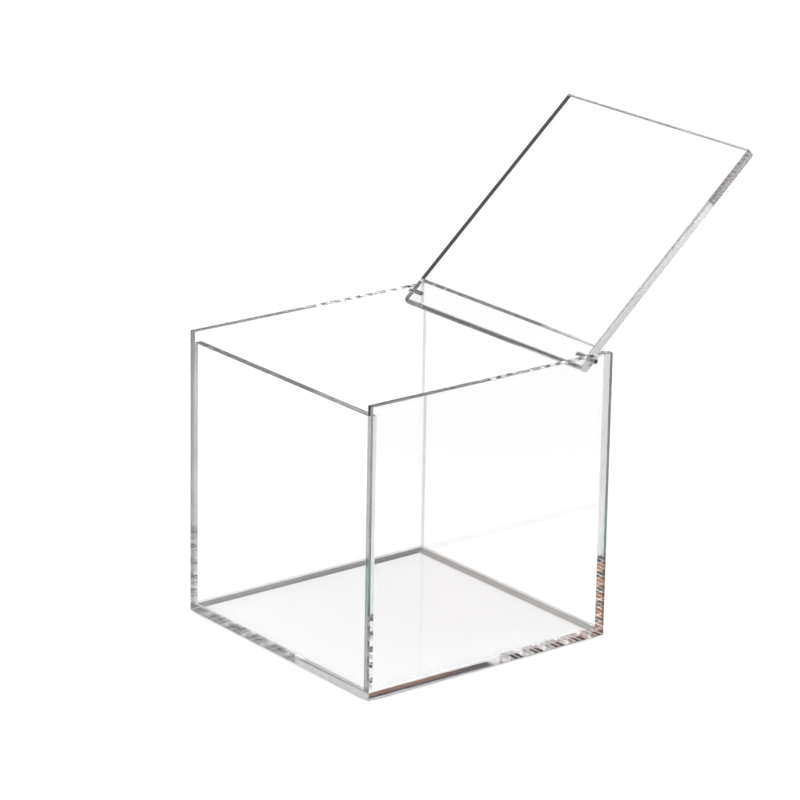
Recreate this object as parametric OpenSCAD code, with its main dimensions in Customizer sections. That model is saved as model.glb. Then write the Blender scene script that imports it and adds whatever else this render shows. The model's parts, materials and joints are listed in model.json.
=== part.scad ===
// Clear display cube with a thick drop-in lid, built from flat sheet.
// A base plate carries four upright panels. The two sides run the full depth and height,
// and the front and the back fit between them. The front stops lower, so the lid lies on it
// and its top is flush with the other three. The lid swings on two short pins that are
// driven through the sides, and leans back on the top edge of the back panel.
// The origin is the centre of the underside. X runs to the right, Y to the back, Z up.

/* [Box] */
// Outside width of the box, left to right
box_w = 127; // [60:1:250]
// Outside depth of the box, front to back
box_d = 127; // [60:1:250]
// Outside height of the box with the lid shut
box_h = 127; // [50:1:250]
// Thickness of the four upright panels
wall_t = 3.3; // [2:0.1:6]
// Thickness of the base plate
base_t = 3.6; // [2:0.1:8]

/* [Lid] */
// Thickness of the lid
lid_t = 4.5; // [3.5:0.1:8]
// Clear space between the lid and each side panel
lid_side_gap = 1.1; // [0.4:0.1:3]
// How far the shut lid's free edge stays behind the box's front face
lid_front_setback = 1.2; // [0:0.1:2]
// Clear space under the shut lid where it comes down on the front panel
lid_seat_gap = 0.05; // [0.02:0.01:0.2]
// Clear space between the open lid and the back edge that it leans on
lid_lean_gap = 0.1; // [0.05:0.01:0.3]
// Rounding of the lid's two edges beside the back panel
tail_round = 1.6; // [1:0.1:1.7]
// Rounding of the lid's two edges at its free end
free_round = 0.5; // [0.2:0.1:1.5]

/* [Hinge] */
// Diameter of each hinge pin
pin_d = 2; // [1:0.1:2.5]
// How deep each pin reaches into the lid
pin_reach = 6.6; // [4:0.1:15]
// Clear space around each pin inside the lid
pin_clearance = 0.05; // [0.02:0.01:0.1]
// Film of cement around each pin in its side panel
pin_cement = 0.02; // [0.01:0.01:0.05]
// Clear space between each pin's tip and the end of its hole
pin_end_gap = 0.3; // [0.1:0.1:2]
// Angle of the drill's point, which leaves a cone at the end of each hole in the lid
drill_point = 118; // [90:1:140]
// Distance from the pins' axis to the back panel's inner face
axis_back = 6.15; // [5:0.05:12]
// Clear space that the lid's rear edge keeps from the back panel as it swings past
tail_gap = 0.2; // [0.1:0.05:0.5]

/* [Hidden] */
$fn = 64;

clear_sheet = [0.86, 0.92, 0.94, 0.45];
lid_sheet = [0.80, 0.88, 0.92, 0.55];
pin_metal = [0.62, 0.63, 0.65];

// Small overshoot that keeps cuts free of thin skins
cut = 1;

// Inner faces of the upright panels
inner_x = box_w / 2 - wall_t;
inner_y = box_d / 2 - wall_t;

// The shut lid is flush with the tops of the side panels
lid_low = box_h - lid_t;
front_h = lid_low - lid_seat_gap - base_t;
wall_h = box_h - base_t;

// The pins' axis runs along X through the middle of the lid's thickness
axis_y = inner_y - axis_back;
axis_z = box_h - lid_t / 2;

// The lid's own sizes, measured from the axis
lid_w = 2 * (inner_x - lid_side_gap);
swing_reach = axis_back - tail_gap - tail_round;
tail_len = tail_round + sqrt(pow(swing_reach, 2) - pow(lid_t / 2 - tail_round, 2));
free_len = axis_y + box_d / 2 - lid_front_setback;

// The lid turns back until its top comes against the inner top edge of the back panel
edge_reach = norm([axis_back, box_h - axis_z]);
edge_slope = atan2(box_h - axis_z, axis_back);
open_angle = 180 - edge_slope - asin((lid_t / 2 + lid_lean_gap) / edge_reach);

pin_len = wall_t + lid_side_gap + pin_reach;
bore_d = pin_d + 2 * pin_clearance;
bore_depth = pin_reach + pin_end_gap;
bore_tip = bore_d / 2 / tan(drill_point / 2);

// One upright panel at each side, with the pin's hole through it
module side_panel(side) {
    difference() {
        translate([side > 0 ? inner_x : -box_w / 2, -box_d / 2, base_t])
            cube([wall_t, box_d, wall_h]);
        translate([side * (inner_x - cut), axis_y, axis_z])
            rotate([0, side * 90, 0])
                cylinder(d = pin_d + 2 * pin_cement, h = wall_t + 2 * cut);
    }
}

// A panel that stands between the two sides, from the base up to its own height
module cross_panel(low_y, height) {
    translate([-inner_x, low_y, base_t])
        cube([2 * inner_x, wall_t, height]);
}

// One pin, from the outer face of its side panel into the lid
module hinge_pin(side) {
    translate([side * (box_w / 2 - pin_len), axis_y, axis_z])
        rotate([0, side * 90, 0])
            cylinder(d = pin_d, h = pin_len);
}

// A sheet's outline with its two corners at one end rounded, from u = 0 to u = length
module round_ended_strip(length, thickness, r) {
    translate([0, -thickness / 2])
        square([length - r, thickness]);
    translate([length - r - r, -thickness / 2 + r])
        square([2 * r, thickness - 2 * r]);
    for (w = [-1, 1])
        translate([length - r, w * (thickness / 2 - r)])
            circle(r = r);
}

// The lid's outline seen from the side: the free end runs forward, and the tail back
module lid_outline() {
    mirror([1, 0])
        round_ended_strip(free_len, lid_t, free_round);
    round_ended_strip(tail_len, lid_t, tail_round);
}

// Blind hole for a pin in one end of the lid, with the cone that the drill's point leaves
module pin_bore(side) {
    translate([side * (lid_w / 2 - bore_depth), 0, 0])
        rotate([0, side * 90, 0]) {
            cylinder(d = bore_d, h = bore_depth + cut);
            translate([0, 0, -bore_tip])
                cylinder(d1 = 0, d2 = bore_d, h = bore_tip);
        }
}

// The lid as it lies when shut, with the axis at the origin
module shut_lid() {
    difference() {
        translate([-lid_w / 2, 0, 0])
            rotate([90, 0, 90])
                linear_extrude(height = lid_w)
                    lid_outline();
        for (side = [-1, 1])
            pin_bore(side);
    }
}

module base_panel() {
    color(clear_sheet)
        translate([-box_w / 2, -box_d / 2, 0])
            cube([box_w, box_d, base_t]);
}

module front_panel() {
    color(clear_sheet)
        cross_panel(-box_d / 2, front_h);
}

module back_panel() {
    color(clear_sheet)
        cross_panel(inner_y, wall_h);
}

module left_side_panel() {
    color(clear_sheet)
        side_panel(-1);
}

module right_side_panel() {
    color(clear_sheet)
        side_panel(1);
}

// The lid is stored open, as far back as it goes
module lid_panel() {
    color(lid_sheet)
        translate([0, axis_y, axis_z])
            rotate([-open_angle, 0, 0])
                shut_lid();
}

module left_hinge_pin() {
    color(pin_metal)
        hinge_pin(-1);
}

module right_hinge_pin() {
    color(pin_metal)
        hinge_pin(1);
}

base_panel();
front_panel();
back_panel();
left_side_panel();
right_side_panel();
lid_panel();
left_hinge_pin();
right_hinge_pin();
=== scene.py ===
import json
import math

import bpy
from mathutils import Matrix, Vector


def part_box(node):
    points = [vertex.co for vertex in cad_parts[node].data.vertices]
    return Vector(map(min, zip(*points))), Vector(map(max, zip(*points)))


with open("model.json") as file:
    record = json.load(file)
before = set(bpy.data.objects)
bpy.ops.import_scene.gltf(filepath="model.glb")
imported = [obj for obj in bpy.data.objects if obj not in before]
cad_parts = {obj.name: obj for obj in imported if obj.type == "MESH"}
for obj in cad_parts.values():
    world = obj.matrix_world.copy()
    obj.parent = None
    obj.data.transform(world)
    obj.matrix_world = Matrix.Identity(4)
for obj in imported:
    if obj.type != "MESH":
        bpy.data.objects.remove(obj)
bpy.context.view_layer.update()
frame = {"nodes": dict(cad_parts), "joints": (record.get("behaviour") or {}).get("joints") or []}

bl_info = {
    "name": "Acrylic storage box with lid",
    "version": (1, 0, 0),
    "blender": (4, 5, 0),
    "location": "3D View > Sidebar > Acrylic Box",
    "description": "Clear acrylic cube with a lid that swings on two pins, and its studio",
    "category": "Object",
}

NODES = frame["nodes"]
LID_JOINT = next(joint for joint in frame["joints"] if joint["name"] == "lid_hinge")
LID_OPEN_ANGLE = math.radians(LID_JOINT["range_deg"][1])

BASE_LOW, BASE_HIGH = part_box("base_panel")
BASE_TOP = BASE_HIGH.z
FOOT_X = -BASE_LOW.x
FOOT_Y = -BASE_LOW.y
INNER_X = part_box("front_panel")[1].x
INNER_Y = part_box("back_panel")[0].y
FRONT_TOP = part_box("front_panel")[1].z

# The way that each sheet's flat faces look, with the lid open as it is at rest
SHEET_AXES = {
    "base_panel": (0, 0, 1),
    "front_panel": (0, 1, 0),
    "back_panel": (0, 1, 0),
    "left_side_panel": (1, 0, 0),
    "right_side_panel": (1, 0, 0),
    "lid_panel": (0, math.sin(LID_OPEN_ANGLE), math.cos(LID_OPEN_ANGLE)),
}
BOX_PANELS = tuple(name for name in SHEET_AXES if name != "lid_panel")
DULL_PANEL = "right_side_panel"
HINGE_PINS = ("left_hinge_pin", "right_hinge_pin")

# How square to the sheet's axis a surface has to be, from a cut edge to a polished face
CUT_EDGE, POLISHED_FACE = 0.9, 0.98

# How fine each noise is, in grains to the metre
SAW_MARKS = 900
EDGE_WEAR = 120
FACE_HAZE = 40
FACE_WAVES = 60
DRAW_MARKS = 9000
CARD_GRAIN = 800

# Most of a noise lies between these two values
NOISE_LOW, NOISE_HIGH = 0.3, 0.7

# Heights over which the green cast fades in and out, at its lower and its upper end
CAST_FADE_LOW, CAST_FADE_HIGH = 0.002, 0.012

# Colours that stand for all of the light, and for twice it, which is painted light
OPEN_FLOOR = (1, 1, 1)
PAINTED_TWICE_LIGHT = (2, 2, 2)

# Half the width of the band over which two neighbouring painted shades of the floor blend
SHADE_BLEND = 0.002

# The sides' own strip of the box's foot starts between these distances from the middle
SIDE_STRIP = (0.0595, 0.0602)

# A corner's painted shade fades out between these distances from the middle
CORNER_FADE = (0.0585, 0.0625)

# Places along the left side between which its warm painted shade turns into the deep one
WARM_END, DEEP_START = 0.03, 0.052

# Painted shade of the floor beside the far sides, in light that comes straight from it
PLAIN_FOOT_STEPS = (
    (0.0, (0.74, 0.74, 0.735)),
    (0.002, (0.88, 0.88, 0.88)),
    (0.006, OPEN_FLOOR),
)

# Painted shade under the box for light that has run down a long way inside a panel
CARRIED_DOWN_SHADE = (0.42, 0.42, 0.415)

# The painted dark flag, a dark patch in the floor's colour that only light the sheets mirror
# sees: which way it lies, where it starts and how soft its rim is
PAINTED_FLAG_WAY = (0.79, 0.61, 0)
PAINTED_FLAG_ACROSS = (-0.61, 0.79, 0)
PAINTED_FLAG_START = (0.2, 0.36)
PAINTED_FLAG_RIM = (0.0, -0.1)

# Numbers of mirrorings over which light counts as carried inside the sheets
MIRRORED_ONCE = 0.5
CARRIED = (1, 2)
CARRIED_ON = (2, 4)
CARRIED_DOWN = (8, 12)
CARRIED_FAR = (10, 14)

# Heights in the world light, as the upward part of the way that a ray goes
SKYLINE = (0.29, 0.335)
SHELF_FOOT = (0.325, 0.34)
SHELF_TOP = (0.371, 0.365)
UPPER_WALLS = (0.4, 0.6)
OVERHEAD = (0.66, 0.84)

# Half the width of the band over which two neighbouring walls blend
WALL_BLEND = 0.1

UPPER_LEFT_WALL = (0.35, 0.345, 0.34)
UPPER_BACK_WALLS = (0.25, 0.25, 0.25)

# How many times light may turn inside the sheets before it is given up
MOST_BOUNCES = 64


class SheetSettings(bpy.types.PropertyGroup):
    """The clear sheet that the five panels and the lid are cut from"""

    ior: bpy.props.FloatProperty(
        name="Refractive index",
        description="How strongly the sheet bends light",
        default=1.49, min=1.3, max=1.8)
    face_color: bpy.props.FloatVectorProperty(
        name="Face colour",
        description="Share of the light that each polished face lets on",
        subtype="COLOR", default=(0.988, 0.988, 0.988), min=0, max=1)
    edge_color: bpy.props.FloatVectorProperty(
        name="Edge colour",
        description="Share of the light that each cut edge lets on",
        subtype="COLOR", default=(0.7, 0.695, 0.7), min=0, max=1)
    right_edge_color: bpy.props.FloatVectorProperty(
        name="Right edge colour",
        description="The same for the right side panel, whose cut edges are duller",
        subtype="COLOR", default=(0.46, 0.455, 0.46), min=0, max=1)
    green_cast: bpy.props.FloatVectorProperty(
        name="Green cast",
        description="The same where the right side panel's cut edges have a green cast",
        subtype="COLOR", default=(0.34, 0.46, 0.39), min=0, max=1)
    cast_low: bpy.props.FloatProperty(
        name="Cast from",
        description="Height at which the green cast starts",
        subtype="DISTANCE", unit="LENGTH", default=0.036, min=0, max=0.2)
    cast_high: bpy.props.FloatProperty(
        name="Cast to",
        description="Height at which the green cast ends",
        subtype="DISTANCE", unit="LENGTH", default=0.068, min=0, max=0.2)
    edge_haze: bpy.props.FloatProperty(
        name="Edge haze",
        description="Roughness that sawing and polishing leave on the cut edges",
        subtype="FACTOR", default=0.04, min=0, max=1)
    eased_edge: bpy.props.FloatProperty(
        name="Eased edge",
        description="Radius that scraping and polishing leave along each sheet's edges",
        subtype="DISTANCE", unit="LENGTH", default=0.0004, min=0, max=0.002, precision=5)
    joint_film: bpy.props.FloatProperty(
        name="Joint film",
        description="Distance from a cemented joint within which the two sheets are one",
        subtype="DISTANCE", unit="LENGTH", default=0.000005, min=0.000001, max=0.0001,
        precision=6)


class PinSettings(bpy.types.PropertyGroup):
    """The two wire pins of the hinge"""

    wire_color: bpy.props.FloatVectorProperty(
        name="Wire colour",
        description="Colour of the drawn stainless wire",
        subtype="COLOR", default=(0.4, 0.4, 0.42), min=0, max=1)
    wire_roughness: bpy.props.FloatProperty(
        name="Wire roughness",
        description="Roughness of the drawn wire",
        subtype="FACTOR", default=0.28, min=0, max=1)


class StudioSettings(bpy.types.PropertyGroup):
    """Floor, light and camera"""

    floor_size: bpy.props.FloatProperty(
        name="Floor size",
        description="Width of the pale floor",
        subtype="DISTANCE", unit="LENGTH", default=16, min=1, max=50)
    floor_drop: bpy.props.FloatProperty(
        name="Floor drop",
        description="Air between the box's underside and the floor",
        subtype="DISTANCE", unit="LENGTH", default=0.0001, min=0.00001, max=0.001,
        precision=5)
    floor_color: bpy.props.FloatVectorProperty(
        name="Floor colour",
        description="Colour of the pale floor",
        subtype="COLOR", default=(0.93, 0.93, 0.93), min=0, max=1)
    lamp_strength: bpy.props.FloatProperty(
        name="Overhead light",
        description="Brightness of the wide soft light overhead",
        default=2.5, min=0, max=20)
    back_wall: bpy.props.FloatVectorProperty(
        name="Back wall",
        description="Light of the studio wall behind and to the left, seen in the box's edges",
        subtype="COLOR", default=(0.31, 0.31, 0.315), min=0, max=2)
    right_wall: bpy.props.FloatVectorProperty(
        name="Right wall",
        description="Light of the studio wall behind and to the right",
        subtype="COLOR", default=(0.21, 0.21, 0.21), min=0, max=2)
    left_wall: bpy.props.FloatVectorProperty(
        name="Left wall",
        description="Light of the warmer studio wall to the left and in front",
        subtype="COLOR", default=(0.25, 0.24, 0.235), min=0, max=2)
    warm_shelf: bpy.props.FloatVectorProperty(
        name="Warm shelf",
        description="Light of the orange-brown shelf that runs along the left wall",
        subtype="COLOR", default=(0.15, 0.065, 0.035), min=0, max=2)
    carried_gain: bpy.props.FloatProperty(
        name="Carried light",
        description="How much stronger the walls' light is that runs along inside the sheets",
        default=5.0, min=1, max=10)
    camera_side: bpy.props.FloatVectorProperty(
        name="Camera side",
        description="Light of the dark side of the studio that the camera stands on",
        subtype="COLOR", default=(0.02, 0.02, 0.025), min=0, max=2)
    skyline_gain: bpy.props.FloatProperty(
        name="Skyline",
        description="How much brighter the walls are near the floor than higher up",
        default=1.55, min=1, max=4)
    # Painted shades: the floor's colour is multiplied by these along and under the box's foot
    left_shade: bpy.props.FloatVectorProperty(
        name="Left shade",
        description="Share of the light that reaches the floor close along the left side",
        subtype="COLOR", default=(0.1, 0.1, 0.12), min=0, max=1)
    warm_shade: bpy.props.FloatVectorProperty(
        name="Warm shade",
        description="Share of the light a little further out, at the front of the left side",
        subtype="COLOR", default=(0.42, 0.22, 0.14), min=0, max=1)
    deep_shade: bpy.props.FloatVectorProperty(
        name="Deep shade",
        description="Share of the light a little further out, at the back of the left side",
        subtype="COLOR", default=(0.13, 0.11, 0.095), min=0, max=1)
    back_shade: bpy.props.FloatVectorProperty(
        name="Back shade",
        description="Share of the light that reaches the floor along the back",
        subtype="COLOR", default=(0.52, 0.51, 0.5), min=0, max=1)
    rim_shade: bpy.props.FloatVectorProperty(
        name="Rim shade",
        description="Share of the light that reaches the floor under the box's near rims",
        subtype="COLOR", default=(0.4, 0.4, 0.4), min=0, max=1)
    # Painted reflection: the floor's colour far to the right and back, darkened to this share
    # where only mirrored light sees it, stands for a dark flag
    painted_flag_shade: bpy.props.FloatProperty(
        name="Flag",
        description="Share of the floor's light far to the right and back, where a dark flag"
                    " stands that only the sheets mirror",
        subtype="FACTOR", default=0.08, min=0, max=1)
    # Painted shade: for light mirrored about fourteen times or more, the floor's colour outside
    # the box's foot is dimmed to this share
    painted_long_way_share: bpy.props.FloatProperty(
        name="Long way",
        description="Share of the floor's light that is left after many turns inside a sheet",
        subtype="FACTOR", default=0.5, min=0, max=1)
    camera_spot: bpy.props.FloatVectorProperty(
        name="Camera place",
        description="Where the camera stands",
        subtype="XYZ", unit="LENGTH", default=(1.252041, -0.988703, 0.627382))
    camera_turn: bpy.props.FloatProperty(
        name="Camera turn",
        description="How far round the box the camera stands, from straight in front",
        subtype="ANGLE", default=math.radians(51.695))
    camera_tilt: bpy.props.FloatProperty(
        name="Camera tilt",
        description="How far the camera looks down",
        subtype="ANGLE", default=math.radians(18.262))
    camera_roll: bpy.props.FloatProperty(
        name="Camera roll",
        description="How far the camera leans to one side",
        subtype="ANGLE", default=math.radians(1.022))
    camera_lens: bpy.props.FloatProperty(
        name="Focal length",
        description="Focal length for a sensor 36 mm wide",
        unit="CAMERA", default=178.356, min=10, max=500)


class BoxSettings(bpy.types.PropertyGroup):
    """All the settings of the acrylic box"""

    sheet: bpy.props.PointerProperty(type=SheetSettings)
    pins: bpy.props.PointerProperty(type=PinSettings)
    studio: bpy.props.PointerProperty(type=StudioSettings)


class NodeBoard:
    """Adds and links the nodes of one material or world"""

    def __init__(self, tree):
        tree.nodes.clear()
        self.tree = tree

    def add(self, kind, **properties):
        node = self.tree.nodes.new(kind)
        for name, value in properties.items():
            setattr(node, name, value)
        return node

    def put(self, value, socket):
        """Links value to a socket, or writes it there if it isn't a socket itself"""
        if isinstance(value, bpy.types.NodeSocket):
            self.tree.links.new(value, socket)
        else:
            socket.default_value = value

    def finish(self, kind, surface):
        """Sends the surface to the output of a material or a world"""
        self.put(surface, self.add(kind).inputs["Surface"])

    def place(self):
        return self.add("ShaderNodeTexCoord").outputs["Object"]

    def mirrorings(self):
        """How many times the light on its way to the eye has been mirrored"""
        return self.add("ShaderNodeLightPath").outputs["Glossy Depth"]

    def split(self, vector):
        node = self.add("ShaderNodeSeparateXYZ")
        self.put(vector, node.inputs[0])
        return node.outputs

    def math(self, operation, *values):
        node = self.add("ShaderNodeMath", operation=operation)
        for value, socket in zip(values, node.inputs):
            self.put(value, socket)
        return node.outputs[0]

    def product(self, first, *others):
        for other in others:
            first = self.math("MULTIPLY", first, other)
        return first

    def rest_of(self, share):
        return self.math("SUBTRACT", 1.0, share)

    def dot(self, vector, axis):
        node = self.add("ShaderNodeVectorMath", operation="DOT_PRODUCT")
        self.put(vector, node.inputs[0])
        node.inputs[1].default_value = axis
        return node.outputs["Value"]

    def stretch(self, vector, scale):
        node = self.add("ShaderNodeVectorMath", operation="MULTIPLY")
        self.put(vector, node.inputs[0])
        node.inputs[1].default_value = scale
        return node.outputs[0]

    def ramp(self, value, low, high, out_low=0.0, out_high=1.0, smooth=False):
        """Runs from out_low to out_high as value runs from low to high, and stops there"""
        node = self.add("ShaderNodeMapRange")
        node.interpolation_type = "SMOOTHSTEP" if smooth else "LINEAR"
        for key, number in zip(("From Min", "From Max", "To Min", "To Max"),
                               (low, high, out_low, out_high)):
            node.inputs[key].default_value = number
        self.put(value, node.inputs["Value"])
        return node.outputs[0]

    def spread(self, noise, low, high):
        """A noise that runs from low to high"""
        return self.ramp(noise, NOISE_LOW, NOISE_HIGH, low, high)

    def color_steps(self, value, steps):
        """A colour that follows value, through (number, colour) pairs in rising order"""
        low, high = steps[0][0], steps[-1][0]
        node = self.add("ShaderNodeValToRGB")
        self.put(self.ramp(value, low, high), node.inputs[0])
        marks = node.color_ramp.elements
        while len(marks) < len(steps):
            marks.new(0.5)
        for mark, (number, color) in zip(marks, steps):
            mark.position = (number - low) / (high - low)
            mark.color = (*color, 1)
        return node.outputs[0]

    def mix_color(self, factor, first, second):
        node = self.add("ShaderNodeMix", data_type="RGBA")
        self.put(factor, node.inputs[0])
        for value, socket in ((first, node.inputs[6]), (second, node.inputs[7])):
            self.put((*value, 1) if isinstance(value, tuple) else value, socket)
        return node.outputs[2]

    def mix_number(self, factor, first, second):
        node = self.add("ShaderNodeMix", data_type="FLOAT")
        self.put(factor, node.inputs[0])
        self.put(first, node.inputs[2])
        self.put(second, node.inputs[3])
        return node.outputs[0]

    def tint(self, color, by):
        """A colour multiplied by another"""
        node = self.add("ShaderNodeMix", data_type="RGBA", blend_type="MULTIPLY")
        node.inputs[0].default_value = 1
        self.put(color, node.inputs[6])
        self.put(by, node.inputs[7])
        return node.outputs[2]

    def dim(self, color, share):
        """A colour multiplied by a number"""
        node = self.add("ShaderNodeVectorMath", operation="SCALE")
        self.put(color, node.inputs[0])
        self.put(share, node.inputs["Scale"])
        return node.outputs[0]

    def noise(self, vector, scale, detail):
        node = self.add("ShaderNodeTexNoise")
        self.put(vector, node.inputs["Vector"])
        node.inputs["Scale"].default_value = scale
        node.inputs["Detail"].default_value = detail
        return node.outputs["Fac"]

    def bump(self, height, strength, distance, normal=None):
        node = self.add("ShaderNodeBump")
        if normal is not None:
            self.put(normal, node.inputs["Normal"])
        node.inputs["Strength"].default_value = strength
        node.inputs["Distance"].default_value = distance
        self.put(height, node.inputs["Height"])
        return node.outputs[0]


def new_material(name):
    material = bpy.data.materials.new(name)
    material.use_nodes = True
    return material, NodeBoard(material.node_tree)


def darker(color, share):
    return tuple(share * part for part in color)


def cemented(board, place, film):
    """1 where two panels of the box are cemented together, and 0 elsewhere"""
    x, y, z = board.split(place)
    side = board.math("ABSOLUTE", x)
    depth = board.math("ABSOLUTE", y)
    over_wall = board.math("MAXIMUM",
                           board.math("GREATER_THAN", side, INNER_X),
                           board.math("GREATER_THAN", depth, INNER_Y))
    base_joint = board.product(board.math("COMPARE", z, BASE_TOP, film), over_wall)
    behind_front = board.product(board.math("LESS_THAN", y, -INNER_Y),
                                 board.math("LESS_THAN", z, FRONT_TOP))
    across_end = board.math("MAXIMUM", behind_front,
                            board.math("GREATER_THAN", y, INNER_Y))
    side_joint = board.product(board.math("COMPARE", side, INNER_X, film), across_end)
    return board.math("MAXIMUM", base_joint, side_joint)


def plain_edge(board, place):
    """Edge colour of most sheets, a little uneven from wear"""
    look = bpy.context.scene.acrylic_box.sheet
    wear_marks = board.noise(place, EDGE_WEAR, detail=3)
    return board.mix_color(board.ramp(wear_marks, 0.35, 0.65),
                           tuple(look.edge_color), darker(look.edge_color, 0.94))


def dull_edge(board, place):
    """Edge colour of the right side panel, with its green cast between two heights"""
    look = bpy.context.scene.acrylic_box.sheet
    height = board.split(place)[2]
    cast = board.product(
        board.ramp(height, look.cast_low, look.cast_low + CAST_FADE_LOW, smooth=True),
        board.ramp(height, look.cast_high, look.cast_high - CAST_FADE_HIGH, smooth=True))
    return board.mix_color(cast, tuple(look.right_edge_color), tuple(look.green_cast))


def sheet_material(name, sheet_axis, joined, dull=False):
    """Polished clear acrylic whose flat faces lie square to sheet_axis"""
    look = bpy.context.scene.acrylic_box.sheet
    material, board = new_material(name)
    spot = board.add("ShaderNodeTexCoord")
    place = spot.outputs["Object"]
    facing = board.math("ABSOLUTE", board.dot(spot.outputs["Normal"], sheet_axis))
    on_edge = board.ramp(facing, POLISHED_FACE, CUT_EDGE)

    edge_color = dull_edge(board, place) if dull else plain_edge(board, place)
    color = board.mix_color(on_edge, tuple(look.face_color), edge_color)
    face_haze = board.spread(board.noise(place, FACE_HAZE, detail=3), 0.0, 0.004)
    edge_haze = board.spread(board.noise(place, SAW_MARKS, detail=4),
                             0.4 * look.edge_haze, look.edge_haze)
    haze = board.math("ADD",
                      board.product(face_haze, board.rest_of(on_edge)),
                      board.product(edge_haze, on_edge))
    waves = board.noise(place, FACE_WAVES, detail=1)
    eased = board.add("ShaderNodeBevel", samples=4)
    eased.inputs["Radius"].default_value = look.eased_edge

    sheet = board.add("ShaderNodeBsdfGlass")
    board.put(color, sheet.inputs["Color"])
    board.put(haze, sheet.inputs["Roughness"])
    sheet.inputs["IOR"].default_value = look.ior
    board.put(board.bump(waves, 0.02, 0.0001, eased.outputs[0]), sheet.inputs["Normal"])
    surface = sheet.outputs[0]
    if joined:
        through = board.add("ShaderNodeBsdfTransparent")
        blend = board.add("ShaderNodeMixShader")
        board.put(cemented(board, place, look.joint_film), blend.inputs[0])
        board.put(surface, blend.inputs[1])
        board.put(through.outputs[0], blend.inputs[2])
        surface = blend.outputs[0]
    board.finish("ShaderNodeOutputMaterial", surface)
    return material


def wire_material():
    """Drawn stainless wire with fine marks along it"""
    look = bpy.context.scene.acrylic_box.pins
    material, board = new_material("Drawn wire")
    along_wire = board.stretch(board.place(), (0.05, 1, 1))
    draw_marks = board.noise(along_wire, DRAW_MARKS, detail=3)
    metal = board.add("ShaderNodeBsdfPrincipled")
    board.put(board.mix_color(draw_marks, tuple(look.wire_color), darker(look.wire_color, 0.7)),
              metal.inputs["Base Color"])
    metal.inputs["Metallic"].default_value = 1
    board.put(board.spread(draw_marks, 0.7 * look.wire_roughness, 1.3 * look.wire_roughness),
              metal.inputs["Roughness"])
    board.put(board.bump(draw_marks, 0.3, 0.00002), metal.inputs["Normal"])
    board.finish("ShaderNodeOutputMaterial", metal.outputs[0])
    return material


class FloorPlaces:
    """Where a point of the floor lies, measured from the box's foot"""

    def __init__(self, board, place):
        self.place = place
        x, self.y = board.split(place)[:2]
        self.side = board.math("ABSOLUTE", x)
        self.depth = board.math("ABSOLUTE", self.y)
        # Distance out from the foot's outline, which is below 0 under the box
        self.out = board.math("MAXIMUM",
                              board.math("SUBTRACT", self.side, FOOT_X),
                              board.math("SUBTRACT", self.depth, FOOT_Y))
        self.to_back = board.ramp(board.math("SUBTRACT", self.y, self.side),
                                  -SHADE_BLEND, SHADE_BLEND, smooth=True)
        self.to_left = board.ramp(
            board.math("SUBTRACT", board.math("MULTIPLY", x, -1.0), self.depth),
            -SHADE_BLEND, SHADE_BLEND, smooth=True)
        self.far_sides = board.math("MAXIMUM", self.to_left, self.to_back)


def near_shade(board, spots):
    """Painted shade along the front and the right side, under the box and just outside"""
    rim = tuple(bpy.context.scene.acrylic_box.studio.rim_shade)
    return board.color_steps(spots.out, (
        (-0.006, OPEN_FLOOR),
        (-0.003, rim),
        (-0.0005, rim),
        (0.0005, (0.8, 0.8, 0.8)),
        (0.0025, OPEN_FLOOR)))


def back_shade(board, spots):
    """Painted shade along the back, in two strips under the box and one outside"""
    outside = tuple(bpy.context.scene.acrylic_box.studio.back_shade)
    return board.color_steps(spots.out, (
        (-0.0068, OPEN_FLOOR),
        (-0.006, (0.46, 0.46, 0.45)),
        (-0.0045, (0.28, 0.28, 0.27)),
        (-0.0038, (0.5, 0.5, 0.49)),
        (-0.0028, (0.34, 0.34, 0.33)),
        (-0.0005, (0.42, 0.42, 0.41)),
        (0.0003, outside),
        (0.003, outside),
        (0.0055, (0.65, 0.65, 0.65)),
        (0.0068, OPEN_FLOOR)))


def left_shade(board, spots):
    """Painted shade along the left side: two dark strips under the box, then a warm or deep one
    """
    look = bpy.context.scene.acrylic_box.studio
    inboard = board.color_steps(spots.out, (
        (-0.0064, OPEN_FLOOR),
        (-0.0058, (0.08, 0.075, 0.065)),
        (-0.0042, (0.02, 0.018, 0.015)),
        (-0.0035, (0.2, 0.195, 0.18)),
        (-0.0026, (0.1, 0.1, 0.095)),
        (-0.0005, (0.16, 0.16, 0.15)),
        (0.0003, tuple(look.left_shade))))
    further_out = board.mix_color(board.ramp(spots.y, WARM_END, DEEP_START),
                                  tuple(look.warm_shade), tuple(look.deep_shade))
    outboard = board.color_steps(spots.out, (
        (0.0046, (0, 0, 0)),
        (0.006, (0.5, 0.5, 0.5)),
        (0.0068, OPEN_FLOOR)))
    inner = board.mix_color(board.ramp(spots.out, 0.002, 0.003), inboard, further_out)
    return board.mix_color(board.ramp(spots.out, 0.004, 0.0056), inner, outboard)


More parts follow.
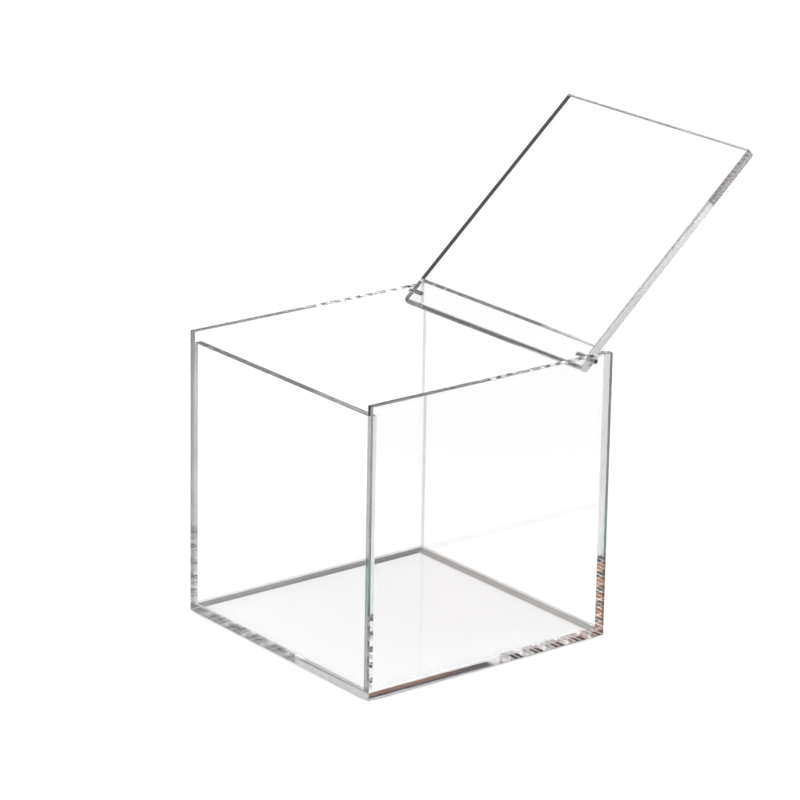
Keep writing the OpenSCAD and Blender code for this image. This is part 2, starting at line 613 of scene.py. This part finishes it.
def foot_shade(board, spots):
    """Painted shade and painted light on the floor around and under the box, as a colour

    Outside the far sides, the deep painted shades show only in what the sheets mirror, and the
    floor itself has a plain pale painted one. Light that a panel has carried down to its foot
    sees a lighter floor there than light that comes straight through the base.
    """
    shade = board.mix_color(
        spots.to_left,
        board.mix_color(spots.to_back, near_shade(board, spots), back_shade(board, spots)),
        left_shade(board, spots))
    mirrorings = board.mirrorings()

    # Painted pale contact shade beside the far sides, for light that comes straight from the
    # floor
    seen_straight = board.product(board.math("LESS_THAN", mirrorings, MIRRORED_ONCE),
                                  spots.far_sides, board.ramp(spots.out, -0.0002, 0.0003))
    shade = board.mix_color(seen_straight, shade,
                            board.color_steps(spots.out, PLAIN_FOOT_STEPS))

    # Painted light: light mirrored about four times or more sees no painted shade under the
    # box's left and back quarters, and a floor twice as bright as its colour under the back
    # quarter
    under_back = board.product(spots.to_back, board.ramp(spots.side, *reversed(SIDE_STRIP)))
    painted_carried_light = board.product(board.ramp(mirrorings, *CARRIED_ON),
                               spots.far_sides, board.ramp(spots.out, 0.0004, -0.0004))
    shade = board.mix_color(painted_carried_light, shade,
                            board.mix_color(under_back, OPEN_FLOOR, PAINTED_TWICE_LIGHT))

    # Painted shade: light mirrored about twelve times or more sees the rest of the floor under
    # the box at CARRIED_DOWN_SHADE
    carried_down = board.product(board.ramp(mirrorings, *CARRIED_DOWN),
                                 board.rest_of(under_back),
                                 board.ramp(spots.out, 0.0005, -0.0005))
    shade = board.mix_color(carried_down, shade, CARRIED_DOWN_SHADE)

    past_corner = board.product(
        board.ramp(spots.out, -0.0005, 0.0005),
        board.ramp(board.math("MINIMUM", spots.side, spots.depth), *CORNER_FADE, smooth=True))
    return board.mix_color(past_corner, shade, OPEN_FLOOR)


def painted_mirror_shade(board, spots):
    """Painted shade in the floor's colour, which only light that the sheets mirror sees

    A dark patch painted far behind the box's right stands for a dark flag, and the floor outside
    the foot is painted darker for light that has been mirrored many times.
    """
    look = bpy.context.scene.acrylic_box.studio
    mirrorings = board.mirrorings()
    mirrored = board.math("GREATER_THAN", mirrorings, MIRRORED_ONCE)
    reach = board.dot(spots.place, PAINTED_FLAG_WAY)
    across = board.math("ABSOLUTE", board.dot(spots.place, PAINTED_FLAG_ACROSS))
    painted_flag = board.product(
        mirrored,
        board.ramp(reach, *PAINTED_FLAG_START, smooth=True),
        board.ramp(board.math("SUBTRACT", across, reach), *PAINTED_FLAG_RIM, smooth=True),
        1 - look.painted_flag_shade)
    painted_long_way_loss = board.product(board.ramp(mirrorings, *CARRIED_FAR, 0.0, 1 - look.painted_long_way_share),
                         board.ramp(spots.out, 0.0, 0.0005))
    return board.product(board.rest_of(painted_flag), board.rest_of(painted_long_way_loss))


def floor_material():
    """Matt white card with the faintest grain, and painted shade and painted light round and
    under the box's foot
    """
    look = bpy.context.scene.acrylic_box.studio
    material, board = new_material("White card")
    place = board.place()
    spots = FloorPlaces(board, place)
    grain = board.noise(place, CARD_GRAIN, detail=2)
    paper = board.mix_color(grain, tuple(look.floor_color), darker(look.floor_color, 0.98))
    card = board.add("ShaderNodeBsdfPrincipled")
    board.put(board.dim(board.tint(paper, foot_shade(board, spots)),
                        painted_mirror_shade(board, spots)),
              card.inputs["Base Color"])
    board.put(board.spread(grain, 0.8, 0.95), card.inputs["Roughness"])
    card.inputs["Specular IOR Level"].default_value = 0.1
    board.put(board.bump(grain, 0.1, 0.0002), card.inputs["Normal"])
    board.finish("ShaderNodeOutputMaterial", card.outputs[0])
    return material


def wear(piece, material):
    """Gives a piece its material in its own slots, so that its mesh stays as it was packed"""
    for slot in piece.material_slots:
        slot.link = "OBJECT"
        slot.material = material


class ACRYLIC_BOX_OT_dress_panels(bpy.types.Operator):
    """Give the five cemented panels their polished clear acrylic"""

    bl_idname = "acrylic_box.dress_panels"
    bl_label = "Dress the five panels"

    def execute(self, context):
        for name in BOX_PANELS:
            wear(NODES[name], sheet_material("Clear sheet of " + name, SHEET_AXES[name],
                                             joined=True, dull=name == DULL_PANEL))
        return {"FINISHED"}


class ACRYLIC_BOX_OT_dress_lid(bpy.types.Operator):
    """Give the lid its thicker polished sheet"""

    bl_idname = "acrylic_box.dress_lid"
    bl_label = "Dress the lid"

    def execute(self, context):
        wear(NODES["lid_panel"], sheet_material("Clear sheet of lid_panel",
                                                SHEET_AXES["lid_panel"], joined=False))
        return {"FINISHED"}


class ACRYLIC_BOX_OT_dress_pins(bpy.types.Operator):
    """Give the two hinge pins their drawn wire"""

    bl_idname = "acrylic_box.dress_pins"
    bl_label = "Dress the hinge pins"

    def execute(self, context):
        wire = wire_material()
        for name in HINGE_PINS:
            wear(NODES[name], wire)
        return {"FINISHED"}


class ACRYLIC_BOX_OT_set_stage(bpy.types.Operator):
    """Lay the pale floor, light the studio and place the camera"""

    bl_idname = "acrylic_box.set_stage"
    bl_label = "Set the stage"

    def execute(self, context):
        lay_floor(context.scene)
        light_studio(context.scene)
        place_camera(context.scene)
        set_light_paths(context.scene)
        return {"FINISHED"}


def lay_floor(scene):
    look = scene.acrylic_box.studio
    half = look.floor_size / 2
    corners = [(x, y, -look.floor_drop) for x, y in
               ((-half, -half), (half, -half), (half, half), (-half, half))]
    mesh = bpy.data.meshes.new("studio_floor")
    mesh.from_pydata(corners, [], [(0, 1, 2, 3)])
    mesh.materials.append(floor_material())
    floor = bpy.data.objects.new("studio_floor", mesh)
    scene.collection.objects.link(floor)


def light_studio(scene):
    """Soft light overhead between four plain walls, of which the camera's side is dark

    The walls' light that is carried along inside the sheets counts more, by carried_gain.
    """
    look = scene.acrylic_box.studio
    world = bpy.data.worlds.new("Soft studio")
    world.use_nodes = True
    scene.world = world
    board = NodeBoard(world.node_tree)
    x, y, z = board.split(board.add("ShaderNodeTexCoord").outputs["Generated"])
    to_right = board.ramp(x, -WALL_BLEND, WALL_BLEND, smooth=True)
    to_back = board.ramp(y, -WALL_BLEND, WALL_BLEND, smooth=True)
    camera_side = tuple(look.camera_side)

    on_shelf = board.product(board.ramp(z, *SHELF_FOOT), board.ramp(z, *SHELF_TOP))
    left_wall = board.mix_color(on_shelf, tuple(look.left_wall), tuple(look.warm_shelf))
    lower = board.mix_color(
        to_back,
        board.mix_color(to_right, left_wall, camera_side),
        board.mix_color(to_right, tuple(look.back_wall), tuple(look.right_wall)))
    upper = board.mix_color(
        to_back, board.mix_color(to_right, UPPER_LEFT_WALL, camera_side), UPPER_BACK_WALLS)
    walls = board.mix_color(board.ramp(z, *UPPER_WALLS, smooth=True), lower, upper)

    overhead = board.ramp(z, *OVERHEAD, smooth=True)
    carried = board.ramp(board.mirrorings(), *CARRIED, 1.0, look.carried_gain)
    skyline = board.ramp(z, *SKYLINE, look.skyline_gain, 1.0, smooth=True)
    light = board.add("ShaderNodeBackground")
    board.put(board.mix_color(overhead, walls, (look.lamp_strength,) * 3),
              light.inputs["Color"])
    board.put(board.product(skyline, board.mix_number(overhead, carried, 1.0)),
              light.inputs["Strength"])
    board.finish("ShaderNodeOutputWorld", light.outputs[0])


def place_camera(scene):
    look = scene.acrylic_box.studio
    data = bpy.data.cameras.new("camera")
    data.lens = look.camera_lens
    data.sensor_width = 36
    data.clip_end = 100
    camera = bpy.data.objects.new("camera", data)
    scene.collection.objects.link(camera)
    turned = (Matrix.Rotation(look.camera_turn, 4, "Z")
              @ Matrix.Rotation(math.pi / 2 - look.camera_tilt, 4, "X")
              @ Matrix.Rotation(look.camera_roll, 4, "Z"))
    camera.matrix_world = Matrix.Translation(look.camera_spot) @ turned
    scene.camera = camera


def set_light_paths(scene):
    """Light runs along inside the sheets for many bounces before it gets out"""
    scene.view_settings.view_transform = "Standard"
    paths = scene.cycles
    paths.max_bounces = MOST_BOUNCES
    paths.glossy_bounces = MOST_BOUNCES
    paths.transmission_bounces = MOST_BOUNCES
    paths.transparent_max_bounces = 2 * MOST_BOUNCES
    paths.blur_glossy = 0


class ACRYLIC_BOX_PT_maker(bpy.types.Panel):
    """The box's settings and the steps that dress it"""

    bl_idname = "ACRYLIC_BOX_PT_maker"
    bl_label = "Acrylic storage box"
    bl_space_type = "VIEW_3D"
    bl_region_type = "UI"
    bl_category = "Acrylic Box"

    def draw(self, context):
        settings = context.scene.acrylic_box
        for group in (settings.sheet, settings.pins, settings.studio):
            box = self.layout.box()
            for name in group.__annotations__:
                box.prop(group, name)
        for operator in STEPS:
            self.layout.operator(operator.bl_idname)


STEPS = (
    ACRYLIC_BOX_OT_dress_panels,
    ACRYLIC_BOX_OT_dress_lid,
    ACRYLIC_BOX_OT_dress_pins,
    ACRYLIC_BOX_OT_set_stage,
)
CLASSES = (SheetSettings, PinSettings, StudioSettings, BoxSettings, *STEPS,
           ACRYLIC_BOX_PT_maker)


def register():
    for kind in CLASSES:
        bpy.utils.register_class(kind)
    bpy.types.Scene.acrylic_box = bpy.props.PointerProperty(type=BoxSettings)


def unregister():
    del bpy.types.Scene.acrylic_box
    for kind in reversed(CLASSES):
        bpy.utils.unregister_class(kind)


def main():
    register()
    bpy.ops.acrylic_box.dress_panels()
    bpy.ops.acrylic_box.dress_lid()
    bpy.ops.acrylic_box.dress_pins()
    bpy.ops.acrylic_box.set_stage()


if __name__ == "__main__":
    main()
